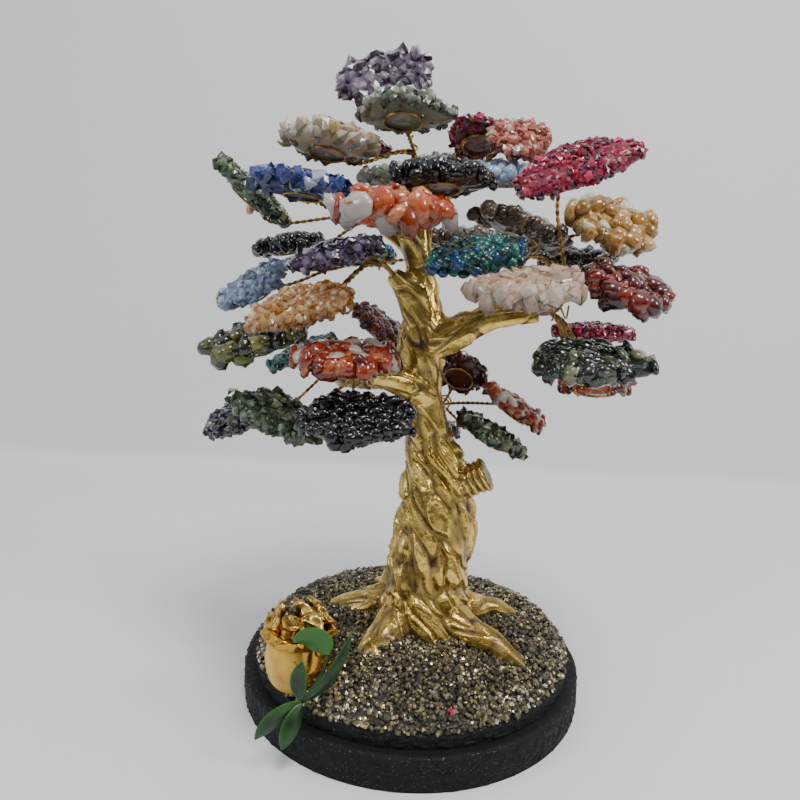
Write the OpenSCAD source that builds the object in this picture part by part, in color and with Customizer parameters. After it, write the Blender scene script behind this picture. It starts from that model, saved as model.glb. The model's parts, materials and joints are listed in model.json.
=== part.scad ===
// A gemstone tree of life: a modelled clay trunk on a wire core stands in a mound of crushed pyrite
// on a stepped round base. Each bough ends in a spray of soft wires, and every wire carries a leaf,
// a slab of stone chips set in clear resin. A small clay pot of nuggets and a green sprig stand in front.

/* [Base] */
// Diameter of the lower disc
base_d = 150; // [120:1:190]
// Thickness of the lower disc
base_h = 14; // [8:1:25]
// How far the upper disc stands back from the edge of the lower one
step_in = 5; // [2:0.5:9]
// Thickness of the upper disc
step_h = 6; // [4:0.5:12]
// Radius of the rounded edges of both discs
edge_r = 2; // [0.5:0.5:3.5]

/* [Ground] */
// Bare rim of the upper disc round the mound
bare_rim = 3; // [1:0.5:8]
// Height of the mound at the foot of the trunk
mound_h = 10; // [6:1:16]

/* [Trunk] */
// Height of the whole tree above the table
tree_h = 270; // [250:5:330]
// Radius of the trunk at its waist
waist_r = 9; // [7:0.5:12]
// Depth of the folds in the bark, as a share of the trunk's radius
fold_depth = 0.09; // [0.02:0.01:0.14]
// Radius of the knot, a cut stub on the right side
knot_r = 7.5; // [5:0.5:9]

/* [Wires] */
// Diameter of the wire core in the trunk
core_d = 7; // [5:0.5:8]
// Diameter of the wire core in a bough
bough_core_d = 3; // [2:0.5:4]
// Diameter of a leaf's twisted stem
stem_d = 1.6; // [1:0.2:2.4]
// Diameter of the bending knuckle where a spray leaves its bough
knuckle_d = 4; // [3:0.5:5]
// Room round a knuckle
knuckle_gap = 0.4; // [0.3:0.1:0.6]
// Diameter of the wire ring under a leaf
ring_d = 15; // [10:1:18]
// Diameter of the ring's wire
ring_wire_d = 1; // [0.6:0.1:1.4]

/* [Leaves] */
// Spread of the leaves across the tree
canopy_d = 180; // [170:5:230]
// Length of a standard leaf
leaf_l = 41; // [30:1:50]
// Width of a standard leaf
leaf_w = 26; // [20:1:36]
// Thickness of the chips above a leaf's wire ring
chips_t = 5.5; // [4:0.5:8]
// Thickness of the resin under the chips
resin_t = 2.2; // [1.5:0.1:3]

/* [Pot] */
// Diameter of the pot's belly
pot_d = 27; // [20:1:34]
// Height of the pot to its rim
pot_h = 27; // [20:1:32]
// Thickness of the pot's wall
pot_wall = 2.5; // [1.5:0.5:3.5]
// How far the pot's centre stands in from the edge of the lower disc
pot_inset = 14; // [10:1:20]

/* [Hidden] */
base_r = base_d / 2;
step_r = base_r - step_in;
ground_z = base_h + step_h;
mound_r = step_r - bare_rim;
pot_r = pot_d / 2;
core_socket = 8;         // how deep the wire core goes into the base
foot_r = 25;             // radius of the trunk where it meets the ground
tip_r = 3.6;             // radius of a bough at its tip
rise = (tree_h - ground_z) / 250;   // scale of the heights below, which are for a 270 mm tree
spread = canopy_d / 180;            // scale of the spread below, which is for a 180 mm canopy

// A place in the tree, from its place in a tree of the standard height and spread
function at(p) = [p[0] * spread, p[1] * spread, ground_z + (p[2] - 20) * rise];

// ---- vectors and smooth lines ----
function unit(v) = v / norm(v);
function held(p, i) = p[max(0, min(len(p) - 1, i))];
// Catmull-Rom curve through the points p, with n steps between each two
function between(a, b, c, d, t) =
    0.5 * (2 * b + (c - a) * t + (2 * a - 5 * b + 4 * c - d) * t * t + (3 * b - a - 3 * c + d) * t * t * t);
function smooth(p, n) = concat(
    [for (i = [0 : len(p) - 2], k = [0 : n - 1])
        between(held(p, i - 1), p[i], p[i + 1], held(p, i + 2), k / n)],
    [p[len(p) - 1]]);
// Cubic curve from a to d with the handles b and c, in n steps
function bezier(a, b, c, d, n) = [for (i = [0 : n]) let (t = i / n, s = 1 - t)
    s * s * s * a + 3 * s * s * t * b + 3 * s * t * t * c + t * t * t * d];
// Tangents of a line, and normals that turn with it as little as they can
function tangents(p) = [for (i = [0 : len(p) - 1]) unit(held(p, i + 1) - held(p, i - 1))];
function square_to(t) = unit(cross(t, abs(t[2]) < 0.9 ? [0, 0, 1] : [0, 1, 0]));
function carried(n, t) = unit(n - t * (n * t));
function normals(t) = [for (i = 0, n = square_to(t[0]); i < len(t);
    i = i + 1, n = carried(n, held(t, i))) n];
function first3(p) = [p[0], p[1], p[2]];
// Turns v about Z, then about X, then about Y, by the angles [about X, about Y, about Z]
function about_z(v, a) = [v[0] * cos(a) - v[1] * sin(a), v[0] * sin(a) + v[1] * cos(a), v[2]];
function about_x(v, a) = [v[0], v[1] * cos(a) - v[2] * sin(a), v[1] * sin(a) + v[2] * cos(a)];
function about_y(v, a) = [v[0] * cos(a) + v[2] * sin(a), v[1], v[2] * cos(a) - v[0] * sin(a)];
function turned(v, r) = about_y(about_x(about_z(v, r[2]), r[0]), r[1]);

// ---- skins ----
function centre_of(ring) = [for (p = ring) 1 / len(ring)] * ring;

// One closed solid from a stack of rings that all have the same number of points
module skin(rings) {
    n = len(rings[0]);
    top = len(rings) - 1;
    points = concat([for (r = rings) each r], [centre_of(rings[0]), centre_of(rings[top])]);
    hub = (top + 1) * n;
    polyhedron(points, concat(
        [for (k = [0 : top - 1], i = [0 : n - 1]) let (j = (i + 1) % n)
            each [[k * n + i, k * n + j, (k + 1) * n + i], [k * n + j, (k + 1) * n + j, (k + 1) * n + i]]],
        [for (i = [0 : n - 1]) [hub, (i + 1) % n, i]],
        [for (i = [0 : n - 1]) [hub + 1, top * n + i, top * n + (i + 1) % n]]));
}

// A round limb through points [x, y, z, radius], with folds that wind round it
module limb(line, sides, folds = 0, turn = 0) {
    path = [for (p = line) first3(p)];
    t = tangents(path);
    n = normals(t);
    skin([for (i = [0 : len(line) - 1])
        [for (k = [0 : sides - 1]) let (
            a = -360 * k / sides,
            fold = 1 + (folds ? fold_depth * cos(folds * a + turn * i) : 0))
            path[i] + line[i][3] * fold * (cos(a) * n[i] + sin(a) * cross(t[i], n[i]))]]);
}

module wire(path, d, sides = 8) {
    limb([for (p = path) [p[0], p[1], p[2], d / 2]], sides);
}

// Blends its children into one skin
module one_skin() {
    resize([0, 0, 0]) children();
}

module rounded_disc(r, h) {
    rotate_extrude($fn = 96) {
        square([r - edge_r, h]);
        square([r, h - edge_r]);
        translate([r - edge_r, h - edge_r]) circle(edge_r, $fn = 32);
    }
}

// ---- base and ground ----
module base_disc() {
    color([0.07, 0.07, 0.08]) difference() {
        rounded_disc(base_r, base_h);
        core_foot();
    }
}

module base_step() {
    color([0.05, 0.05, 0.06]) difference() {
        translate([0, 0, base_h]) rounded_disc(step_r, step_h);
        core_foot();
    }
}

// Where the core stands in the base
foot_at = [6, 0];
module core_foot() {
    translate([foot_at[0], foot_at[1], ground_z - step_h - core_socket])
        cylinder(d = core_d, h = core_socket + step_h, $fn = 32);
}

// Height of the mound at r from the middle in the direction a, and the height of its edge
mound_edge = 1.5;
function mound_at(r, a) = let (
    share = r / mound_r,
    swell = 0.2 * share * sin(3 * a + 40) + 0.1 * cos(5 * a + 9 * r))
    mound_edge + mound_h * pow(max(0, 1 - share * share), 0.45) * (1 + swell);

module mound_shape() {
    around = 32;
    steps = 8;
    function ring(r, top) = [for (k = [0 : around - 1]) let (a = -360 * k / around)
        [r * cos(a), r * sin(a), ground_z + (top ? mound_at(r, a) : 0)]];
    skin(concat([ring(mound_r, false)],
        [for (i = [0 : steps - 1]) ring(mound_r * (1 - 0.9 * i / (steps - 1)), true)]));
}

module pyrite_mound() {
    color([0.36, 0.33, 0.26]) one_skin() difference() {
        mound_shape();
        trunk_shape();
        pot_place() translate([0, 0, -1]) cylinder(r = pot_r + 0.5, h = pot_h + 1, $fn = 40);
    }
}

// ---- trunk ----
// Middle of the trunk and its radius, from the ground to the fork
TRUNK = [[6, 0, 20, foot_r], [6, 0, 30, 22.5], [5, 0, 42, 20], [6, 0, 58, 18], [9, 0, 76, 17.5],
    [8, 0, 95, 15], [4.5, 0, 113, 11.5], [0, 0, 131, waist_r], [-1, 0, 148, waist_r * 1.15],
    [0, 0, 163, waist_r * 1.1], [-2, 0, 177, waist_r * 0.8], [-3, 1, 190, 5.2]];
// Roots, from inside the trunk to their tips
ROOTS = [
    [[0, 2, 40, 10], [-16, 6, 33, 8], [-30, 9, 30, 5.5], [-42, 14, 24, 2.5]],
    [[0, -6, 40, 10], [-10, -18, 30, 8.5], [-17, -29, 27, 6.5], [-23, -42, 21, 3]],
    [[12, -6, 40, 9], [24, -15, 33, 7], [36, -23, 31, 5], [48, -31, 25, 2.5]],
    [[12, 2, 40, 9], [26, 4, 34, 7], [38, 7, 33, 4.5], [50, 10, 26, 2.5]],
    [[8, 6, 40, 9], [13, 20, 32, 7.5], [16, 32, 29, 5], [20, 46, 23, 2.5]],
    [[2, 6, 40, 9], [-8, 20, 32, 7], [-15, 31, 30, 5], [-22, 42, 24, 2.5]]];
KNOT = [[12, -2, 93, knot_r * 1.4], [19, -3, 96, knot_r * 1.1], [24, -4, 98, knot_r * 0.95],
    [30, -5, 101, knot_r]];
// Boughs, each from inside the trunk to the tip that its spray leaves from
BOUGHS = [
    ["crown", [[-1, 0, 176, 7], [-3, 1, 192, 5.4], [-4, 3, 210, 4.6], [-6, 5, 227, tip_r]]],
    ["crown_right", [[-4, 2, 202, 4.4], [1, 5, 209, 4.2], [7, 8, 215, tip_r]]],
    ["crown_front", [[-3, 1, 186, 5], [-6, -5, 194, 4.4], [-9, -12, 200, tip_r]]],
    ["upper_left", [[-3, 2, 190, 4.6], [-10, 4, 197, 4.2], [-17, 5, 202, tip_r]]],
    ["left", [[2, -1, 158, 8], [-3, -3, 170, 7.5], [-8, -4, 178, 6], [-14, -5, 184, tip_r]]],
    ["low_left", [[0, -3, 134, 7], [-7, -9, 139, 6], [-14, -14, 142, 4.8], [-21, -19, 143, tip_r]]],
    ["back_left", [[0, 3, 134, 7], [-6, 11, 141, 6], [-13, 18, 145, 4.6], [-21, 24, 147, tip_r]]],
    ["right_upper", [[19, -5, 163, 6], [29, -1, 171, 5], [36, 6, 180, 4.2], [40, 10, 188, tip_r]]],
    ["right", [[1, -1, 155, 9], [16, -4, 162, 7.2], [30, -7, 167, 4], [46, -9, 170, tip_r]]],
    ["back_right", [[3, 3, 112, 7], [5, 13, 117, 5.6], [7, 22, 120, 4.6], [9, 31, 121, tip_r]]],
    ["back", [[0, 3, 162, 7], [-1, 14, 174, 5.6], [-2, 24, 182, 4.6], [-4, 34, 187, tip_r]]]];
function placed(line) = [for (p = line) concat(at(p), [p[3]])];
// A spray bends about its pivot, which stands off the tip of its bough
function tip(bough) = let (l = placed(bough[1])) first3(l[len(l) - 1]);
function heading(bough) = let (l = placed(bough[1])) unit(tip(bough) - first3(l[len(l) - 2]));
function pivot(bough) = tip(bough) + heading(bough) * (knuckle_d / 2 + knuckle_gap);

module trunk_shape() {
    limb(smooth(placed(TRUNK), 2), 24, folds = 5, turn = 9);
    for (root = ROOTS) limb(smooth(placed(root), 2), 8);
    for (bough = BOUGHS) limb(smooth(placed(bough[1]), 2), 8);
    limb(smooth(placed(KNOT), 1), 14, folds = 7);
}

module clay_trunk() {
    color([0.72, 0.56, 0.22]) one_skin() difference() {
        trunk_shape();
        core_shape();
        translate([0, 0, ground_z - 50]) cylinder(r = base_r, h = 50, $fn = 40);
    }
}

// The core's wires run along the middle of the trunk and of each bough
module core_shape() {
    wire([for (p = placed(TRUNK)) first3(p)], core_d, 8);
    for (bough = BOUGHS) wire([for (p = placed(bough[1])) first3(p)], bough_core_d, 5);
}

module wire_core() {
    color([0.5, 0.38, 0.18]) one_skin() {
        core_shape();
        core_foot();
    }
}

// ---- pot ----
pot_angle = 223;
module pot_place() {
    rotate(pot_angle) translate([base_r - pot_inset, 0, ground_z]) rotate(-pot_angle) children();
}
pot_foot_r = pot_r * 0.55;
pot_neck_r = pot_r * 0.86;
pot_lip_r = pot_r * 1.12;
pot_lip_h = 3;
pot_neck_z = pot_h - pot_lip_h;
belly_z = pot_h * 0.42;

// Profile of the pot's belly, drawn in by the given amount
function belly(inset) = smooth([
    [pot_foot_r - inset, inset],
    [pot_r * 0.86 - inset, pot_h * 0.14 + inset * 0.6],
    [pot_r - inset, belly_z], [pot_r * 0.95 - inset, pot_h * 0.66], [pot_neck_r - inset, pot_neck_z]], 4);

// Inside of the pot, filled up to the height z and heaped in the middle
module pot_inside(z, heap = 0) {
    mouth_r = pot_neck_r - pot_wall;
    polygon(concat([[0, pot_wall]], belly(pot_wall),
        [[mouth_r, z], [mouth_r * 0.6, z + heap], [0, z + heap]]));
}

module clay_pot() {
    color([0.85, 0.62, 0.2]) pot_place() rotate_extrude($fn = 64) difference() {
        polygon(concat([[0, 0]], belly(0), [[pot_lip_r, pot_neck_z + 0.8], [pot_lip_r, pot_h - 0.6],
            [pot_lip_r - 0.8, pot_h], [0, pot_h]]));
        pot_inside(pot_h + 1);
    }
}

// An irregular lump of about radius r
module nugget(r, seed) {
    sides = 7;
    layers = [[-0.7, 0.55], [-0.3, 1], [0.35, 0.95], [0.7, 0.5]];
    skin([for (row = [0 : 3]) [for (k = [0 : sides - 1]) let (
        a = -360 * k / sides + 20 * row,
        belt = r * layers[row][1] * (1 + 0.16 * sin(137 * (k + 1) * (row + 1) + seed * 61)))
        [belt * cos(a), belt * sin(a), r * layers[row][0]]]]);
}

// Nuggets heaped in the mouth of the pot: a ring on the rim and one on top
nugget_r = 4;
nugget_gap = 0.1;
module gold_nuggets() {
    ring_r = pot_neck_r - pot_wall - 1;
    count = 7;
    color([0.8, 0.6, 0.25]) one_skin() pot_place() {
        rotate_extrude($fn = 16) pot_inside(pot_h + 1, nugget_r);
        for (k = [0 : count - 1]) rotate(k * 360 / count)
            translate([ring_r, 0, pot_h + nugget_r * 0.7 + nugget_gap]) nugget(nugget_r, k);
        translate([0, 0, pot_h + nugget_r]) nugget(nugget_r * 1.4, 9);
    }
}

// ---- sprig ----
// A blade from a to d along a curve with the handles b and c, w wide and facing the front
module blade(a, b, c, d, w) {
    steps = 6;
    thick = 0.7;
    path = bezier(a, b, c, d, steps);
    t = tangents(path);
    skin([for (i = [0 : steps]) let (
        side = unit(cross(t[i], [0, 1, 0.4])),
        half = max(0.4, w / 2 * pow(sin(180 * (i / steps)), 0.7)))
        [for (a = [0 : 60 : 300])
            path[i] + side * half * cos(a) + cross(side, t[i]) * thick / 2 * sin(a)]]);
}

// The sprig forks in front of the pot, clear of its lip; its root is pushed into the mound, and its leaves
// hang over the edge of the base. Its points are measured from the ground below the fork.
sprig_gap = 4.8;
sprig_angle = 283.4;
sprig_fork = [0, 0, 5.5];
module sprig_place() {
    out = pot_lip_r + sprig_gap;
    pot_place() translate([out * cos(sprig_angle), out * sin(sprig_angle), 0]) children();
}

module sprig() {
    color([0.1, 0.4, 0.12]) one_skin() sprig_place() {
        wire(bezier([10, 7, 2], [8, 5, 10], [4, 1, 8], sprig_fork, 5), stem_d, 5);
        wire(bezier(sprig_fork, [4, -1, 12], [9, 1, 18], [9, 2, 25], 5), stem_d * 0.8, 5);
        blade(sprig_fork, [6, -1, 10], [14, 1, 18], [17.5, 4, 32], 5);
        blade(sprig_fork, [-2, -1, 10], [-2, -1, 17], [0, 0, 22], 6.5);
        blade([9, 2, 24], [7, 2, 29], [3, 2, 32], [-4, 2, 29], 13);
        blade(sprig_fork, [-5, -4, 5], [-12, -7, 0], [-16, -8, -5.5], 8);
        blade(sprig_fork, [-2, -5, 2], [-4, -8, -3], [-6, -9, -8.5], 7);
    }
}

// ---- leaves ----
// Name, spray, place of the wire ring, turns [about X, about Y, in its own plane], length, width and
// thickness of chips as shares of a standard leaf's, colour
LEAVES = [
    ["amethyst_top", "crown", [-19, 8, 258], [50, -10, 0], [0.93, 1.2, 1.2], [0.36, 0.28, 0.4]],
    ["green_quartz", "crown", [-11, -16, 241], [-20, 0, 0], [0.93, 0.9, 1.2], [0.6, 0.65, 0.55]],
    ["clear_quartz", "crown", [-39, -20, 228], [-15, 5, 0], [0.88, 1, 1.3], [0.78, 0.74, 0.65]],
    ["magenta_top", "crown", [-35, 14, 236], [8, 20, 0], [0.9, 0.9, 1], [0.72, 0.07, 0.3]],
    ["garnet_top", "crown_right", [20, 17, 238], [-30, 0, 0], [0.65, 0.9, 1.2], [0.45, 0.06, 0.1]],
    ["strawberry", "crown_right", [35, 3, 236], [45, 0, 0], [0.62, 0.85, 1], [0.75, 0.4, 0.36]],
    ["blue_right", "crown_right", [28, 4, 221], [10, 0, 10], [0.75, 0.9, 1.3], [0.55, 0.66, 0.78]],
    ["crown_back", "crown_right", [10, 44, 228], [-12, 0, 0], [1, 1, 1], [0.55, 0.6, 0.5]],
    ["agate", "crown_front", [-13, -55, 201], [5, 0, 0], [1.07, 1, 1.6], [0.75, 0.32, 0.18]],
    ["onyx_crown", "crown_front", [4, -38, 215], [-14, 0, 0], [0.93, 0.8, 1], [0.08, 0.06, 0.07]],
    ["fluorite_crown", "crown_front", [-8, -15, 217], [-5, 0, 0], [0.95, 0.7, 1], [0.5, 0.55, 0.45]],
    ["lapis", "upper_left", [-48, -22, 212], [-8, 5, 0], [0.93, 0.9, 1.2], [0.2, 0.28, 0.5]],
    ["aventurine_left", "upper_left", [-74, -3, 212], [0, 42, 0], [0.95, 0.9, 1], [0.3, 0.38, 0.27]],
    ["black_left", "upper_left", [-60, 24, 191], [0, -10, 20], [0.8, 0.85, 1], [0.08, 0.1, 0.09]],
    ["amethyst_left", "left", [-35, -17, 187], [10, -15, 0], [1, 1, 1.2], [0.32, 0.24, 0.4]],
    ["blue_left", "left", [-70, 0, 174], [25, -30, 0], [0.8, 0.9, 1.1], [0.45, 0.53, 0.66]],
    ["peach", "left", [-45, -37, 168], [25, -15, 0], [1, 0.95, 1.2], [0.82, 0.6, 0.42]],
    ["peridot", "left", [-67, -15, 152], [15, -12, 0], [0.95, 1, 1.2], [0.4, 0.42, 0.22]],
    ["carnelian", "low_left", [-29, -44, 150], [10, 0, 0], [1, 1, 1.2], [0.66, 0.22, 0.12]],
    ["obsidian", "low_left", [-23, -52, 130], [25, 0, 0], [1, 1, 1.2], [0.06, 0.06, 0.07]],
    ["aventurine_low", "low_left", [-58, -27, 125], [15, 25, 0], [1.03, 1, 1], [0.35, 0.42, 0.33]],
    ["teal_left", "back_left", [-52, 20, 144], [0, -25, 20], [0.8, 1, 1], [0.08, 0.35, 0.33]],
    ["sodalite", "back_left", [-82, 17, 112], [15, -20, 0], [0.85, 0.9, 1.3], [0.16, 0.2, 0.33]],
    ["jasper_left", "back_left", [-23, 38, 156], [10, 35, 0], [0.75, 0.9, 1], [0.55, 0.2, 0.12]],
    ["citrine_small", "back_left", [-26, 42, 129], [0, 0, 0], [0.9, 0.9, 1], [0.8, 0.55, 0.2]],
    ["tiger_eye", "right_upper", [39, 6, 200], [-15, 20, 0], [1.1, 0.95, 1.2], [0.45, 0.36, 0.28]],
    ["citrine_right", "right_upper", [74, 6, 204], [45, 20, 0], [0.85, 1, 1.3], [0.85, 0.72, 0.5]],
    ["magenta_right", "right", [54, -27, 222], [32, -18, 0], [1.15, 1, 1.2], [0.72, 0.06, 0.27]],
    ["chrysocolla", "right_upper", [19, -24, 188], [20, -8, 0], [1, 0.95, 1.6], [0.1, 0.4, 0.38]],
    ["black_right", "right_upper", [68, 30, 189], [0, 0, 0], [0.85, 0.85, 1], [0.08, 0.08, 0.1]],
    ["jasper_right", "right_upper", [76, -20, 178], [25, 15, 0], [0.9, 1, 1.3], [0.5, 0.15, 0.1]],
    ["rose_quartz", "right", [35, -47, 177], [15, 0, 0], [1.07, 1, 1.5], [0.85, 0.68, 0.62]],
    ["moss_agate", "right", [63, -27, 150], [20, 0, 0], [1.1, 1.05, 1.3], [0.2, 0.28, 0.2]],
    ["magenta_low", "right", [74, 12, 158], [0, 0, 0], [0.93, 0.9, 1], [0.7, 0.08, 0.3]],
    ["orange_low", "right", [75, 6, 136], [0, 0, 0], [0.8, 0.85, 1], [0.78, 0.42, 0.2]],
    ["garnet_back", "back_right", [17, 23, 137], [-45, 25, 0], [0.6, 0.95, 1], [0.35, 0.08, 0.1]],
    ["agate_back", "back_right", [41, 16, 123], [0, 34, 0], [0.8, 0.9, 1], [0.6, 0.36, 0.24]],
    ["aventurine_back", "back_right", [30, 14, 111], [0, 30, 0], [0.95, 0.85, 1], [0.22, 0.4, 0.26]],
    ["amethyst_back", "back_right", [3, 46, 104], [0, 0, 0], [0.85, 0.85, 1], [0.34, 0.26, 0.4]],
    ["smoky_back", "back", [18, 54, 196], [-10, 0, 0], [1, 0.95, 1.1], [0.42, 0.36, 0.3]],
    ["turquoise_back", "back", [-34, 52, 188], [-15, 0, 0], [1, 1, 1.1], [0.2, 0.5, 0.5]]];

// Point p of a leaf's own frame, in the tree
function on_leaf(leaf, p) = at(leaf[2]) + turned(p, leaf[3]);
// Bough of a leaf or of a spray
function bough_of(name) = [for (bough = BOUGHS) if (bough[0] == name) bough][0];

// A slab of chips with a rough outline: resin below, chips above
module slab(leaf) {
    sides = 14;
    length = leaf_l * leaf[4][0];
    width = leaf_w * leaf[4][1];
    chips = chips_t * leaf[4][2];
    seed = len(leaf[0]) * 40 + leaf[2][0] * 7;
    layers = [[0, 0.72], [resin_t, 0.96], [resin_t + chips * 0.6, 1], [resin_t + chips, 0.68]];
    skin([for (layer = layers) [for (k = [0 : sides - 1]) let (
        a = -360 * k / sides,
        rough = layer[1] * (1 + 0.07 * sin(3 * a + seed) + 0.05 * sin(7 * a + 2 * seed)))
        on_leaf(leaf, [length / 2 * rough * cos(a), width / 2 * rough * sin(a), layer[0]])]]);
}

// ---- wires ----
// A leaf's stem runs from the pivot of its spray to the near side of the leaf's ring
module stem(leaf) {
    bough = bough_of(leaf[1]);
    from = pivot(bough);
    normal = turned([0, 0, 1], leaf[3]);
    toward = from - at(leaf[2]);
    inward = unit(toward - normal * (toward * normal));
    end = at(leaf[2]) + inward * ring_d / 2;
    reach = norm(end - from);
    leaving = from + heading(bough) * reach * 0.35;
    arriving = end + (inward * 0.7 - normal * 0.5) * reach * 0.3;
    wire(bezier(from, leaving, arriving, end, 6), stem_d, 5);
}

module wires(spray) {
    bough = bough_of(spray);
    color([0.42, 0.3, 0.12]) one_skin() {
        translate(pivot(bough)) sphere(d = knuckle_d, $fn = 10);
        for (leaf = LEAVES) if (leaf[1] == spray) {
            stem(leaf);
            translate(at(leaf[2])) rotate([leaf[3][0], leaf[3][1], 0])
                rotate_extrude($fn = 12) translate([ring_d / 2, 0]) circle(d = ring_wire_d, $fn = 5);
        }
    }
}

base_disc();
base_step();
pyrite_mound();
clay_trunk();
wire_core();
clay_pot();
gold_nuggets();
sprig();
for (bough = BOUGHS) wires(bough[0]);
for (leaf = LEAVES) color(leaf[5]) slab(leaf);
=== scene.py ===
"""A gemstone tree of life: a gold-painted clay trunk in a mound of crushed pyrite on a black glitter base,
with sprays of brass wire that carry leaves of stone chips in resin, a small clay pot and a green sprig."""
import json
import bpy
import numpy as np
from mathutils import Matrix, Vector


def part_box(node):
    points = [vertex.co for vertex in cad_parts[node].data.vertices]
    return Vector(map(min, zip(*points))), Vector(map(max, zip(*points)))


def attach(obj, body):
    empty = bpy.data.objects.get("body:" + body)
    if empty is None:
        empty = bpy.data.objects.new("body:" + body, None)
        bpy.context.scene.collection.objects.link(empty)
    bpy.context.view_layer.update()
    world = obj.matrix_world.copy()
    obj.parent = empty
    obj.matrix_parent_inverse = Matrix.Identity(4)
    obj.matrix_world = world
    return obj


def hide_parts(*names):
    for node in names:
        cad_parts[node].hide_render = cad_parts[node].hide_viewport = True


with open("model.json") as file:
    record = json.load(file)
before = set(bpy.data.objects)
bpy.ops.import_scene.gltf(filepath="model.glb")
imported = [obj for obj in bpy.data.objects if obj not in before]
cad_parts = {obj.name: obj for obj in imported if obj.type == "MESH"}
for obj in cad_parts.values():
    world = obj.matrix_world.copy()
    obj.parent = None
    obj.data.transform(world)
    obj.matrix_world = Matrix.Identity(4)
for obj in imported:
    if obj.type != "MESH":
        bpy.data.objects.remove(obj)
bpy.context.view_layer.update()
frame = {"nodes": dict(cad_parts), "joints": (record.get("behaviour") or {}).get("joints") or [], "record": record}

# ---- Camera ----
# A camera close in front of the tree and a little above its middle, tipped down and turned.
CAMERA_AT = np.array([0.0, -0.303, 0.191])
CAMERA_LENS = 32.4
CAMERA_DOWN, CAMERA_TURN, CAMERA_ROLL = np.radians([11.3, -1.7, 2.0])
ahead = np.array([np.sin(CAMERA_TURN) * np.cos(CAMERA_DOWN),
                  np.cos(CAMERA_TURN) * np.cos(CAMERA_DOWN), -np.sin(CAMERA_DOWN)])
across = np.array([np.cos(CAMERA_TURN), -np.sin(CAMERA_TURN), 0.0])
above = np.cross(across, ahead)
camera_right = across * np.cos(CAMERA_ROLL) + above * np.sin(CAMERA_ROLL)
camera_up = above * np.cos(CAMERA_ROLL) - across * np.sin(CAMERA_ROLL)


def added(name, data):
    """An object that carries some data, linked into the scene."""
    made = bpy.data.objects.new(name, data)
    bpy.context.scene.collection.objects.link(made)
    return made


def standing(right, up, back, at):
    """Matrix of a camera or a light, from its three directions and its place."""
    columns = np.column_stack([right, up, back, at])
    return Matrix([[*row] for row in np.vstack([columns, [0.0, 0.0, 0.0, 1.0]])])


camera = added("camera", bpy.data.cameras.new("camera"))
camera.data.lens = CAMERA_LENS
camera.data.sensor_width = 36.0
camera.data.clip_start = 0.01
camera.matrix_world = standing(camera_right, camera_up, -ahead, CAMERA_AT)
bpy.context.scene.camera = camera


# ---- Base ----
# Two turned wooden discs, one on the other, coated with thick black paint and fine black glitter.
# The coat is a little uneven, and its glitter catches the light in separate points.
def paint(code):
    """Linear colour of an #rrggbb code: each channel is scaled to 0..1 and its display curve undone."""
    value = np.array([int(code[k:k + 2], 16) for k in (1, 3, 5)]) / 255
    linear = np.where(value <= 0.04045, value / 12.92, ((value + 0.055) / 1.055) ** 2.4)
    return (*linear, 1.0)


def node(tree, kind, inputs=None, **settings):
    """Adds a node. Each input is a value, or the output that it is linked from."""
    made = tree.nodes.new("ShaderNode" + kind)
    for key, value in settings.items():
        setattr(made, key, value)
    for key, value in (inputs or {}).items():
        if isinstance(value, bpy.types.NodeSocket):
            tree.links.new(value, made.inputs[key])
        else:
            made.inputs[key].default_value = value
    return made


def math(tree, operation, first, second):
    """One sum or comparison of two values."""
    return node(tree, "Math", {0: first, 1: second}, operation=operation).outputs[0]


def mapped(tree, value, low, high, to_low=0.0, to_high=1.0):
    """A value's range low..high stretched to to_low..to_high and held there."""
    return node(tree, "MapRange", {0: value, 1: low, 2: high, 3: to_low, 4: to_high}).outputs[0]


def mix(tree, share, first, second, **settings):
    """The first colour with a share of the second."""
    return node(tree, "MixRGB", {0: share, 1: first, 2: second}, **settings).outputs[0]


def ramp(tree, value, *stops):
    """The colour of a value, between stops of (position, #rrggbb)."""
    made = node(tree, "ValToRGB", {0: value})
    elements = made.color_ramp.elements
    for element, (position, code) in zip(elements, (stops[0], stops[-1])):
        element.position, element.color = position, paint(code)
    for position, code in stops[1:-1]:
        elements.new(position).color = paint(code)
    return made.outputs[0]


def stored(tree, name):
    """The number that the mesh's points keep under a name."""
    return node(tree, "Attribute", attribute_name=name).outputs["Fac"]


def noise(tree, scale, detail, **inputs):
    """Noise over the object's own coordinates."""
    place = node(tree, "TexCoord").outputs["Object"]
    return node(tree, "TexNoise", {"Vector": place, "Scale": scale, "Detail": detail, **inputs}).outputs[0]


def cells(tree, scale, **settings):
    """Cells over the object's own coordinates; returns all their outputs."""
    place = node(tree, "TexCoord").outputs["Object"]
    return node(tree, "TexVoronoi", {"Vector": place, "Scale": scale}, **settings).outputs


def drive(tree, sockets, sources, bump=None):
    """Links each source to the socket of its name. A bump is (height, strength, distance) for the normal."""
    for label, source in sources.items():
        tree.links.new(source, sockets[label])
    if bump:
        raised = node(tree, "Bump", {"Height": bump[0], "Strength": bump[1], "Distance": bump[2]})
        tree.links.new(raised.outputs[0], sockets["Normal"])


def finish(name, **plain):
    """A material with one Principled shader and its plain values; returns it, its tree and its sockets."""
    made = bpy.data.materials.new(name)
    made.use_nodes = True
    sockets = made.node_tree.nodes["Principled BSDF"].inputs
    for label, value in plain.items():
        sockets[label.replace("_", " ")].default_value = value
    return made, made.node_tree, sockets


def group(name, inputs, outputs):
    """A node group with named sockets; returns it with its input and output nodes."""
    made = bpy.data.node_groups.new(name, "ShaderNodeTree")
    for label, kind in inputs:
        made.interface.new_socket(label, in_out="INPUT", socket_type="NodeSocket" + kind)
    for label, kind in outputs:
        made.interface.new_socket(label, in_out="OUTPUT", socket_type="NodeSocket" + kind)
    return made, made.nodes.new("NodeGroupInput").outputs, made.nodes.new("NodeGroupOutput").inputs


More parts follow.
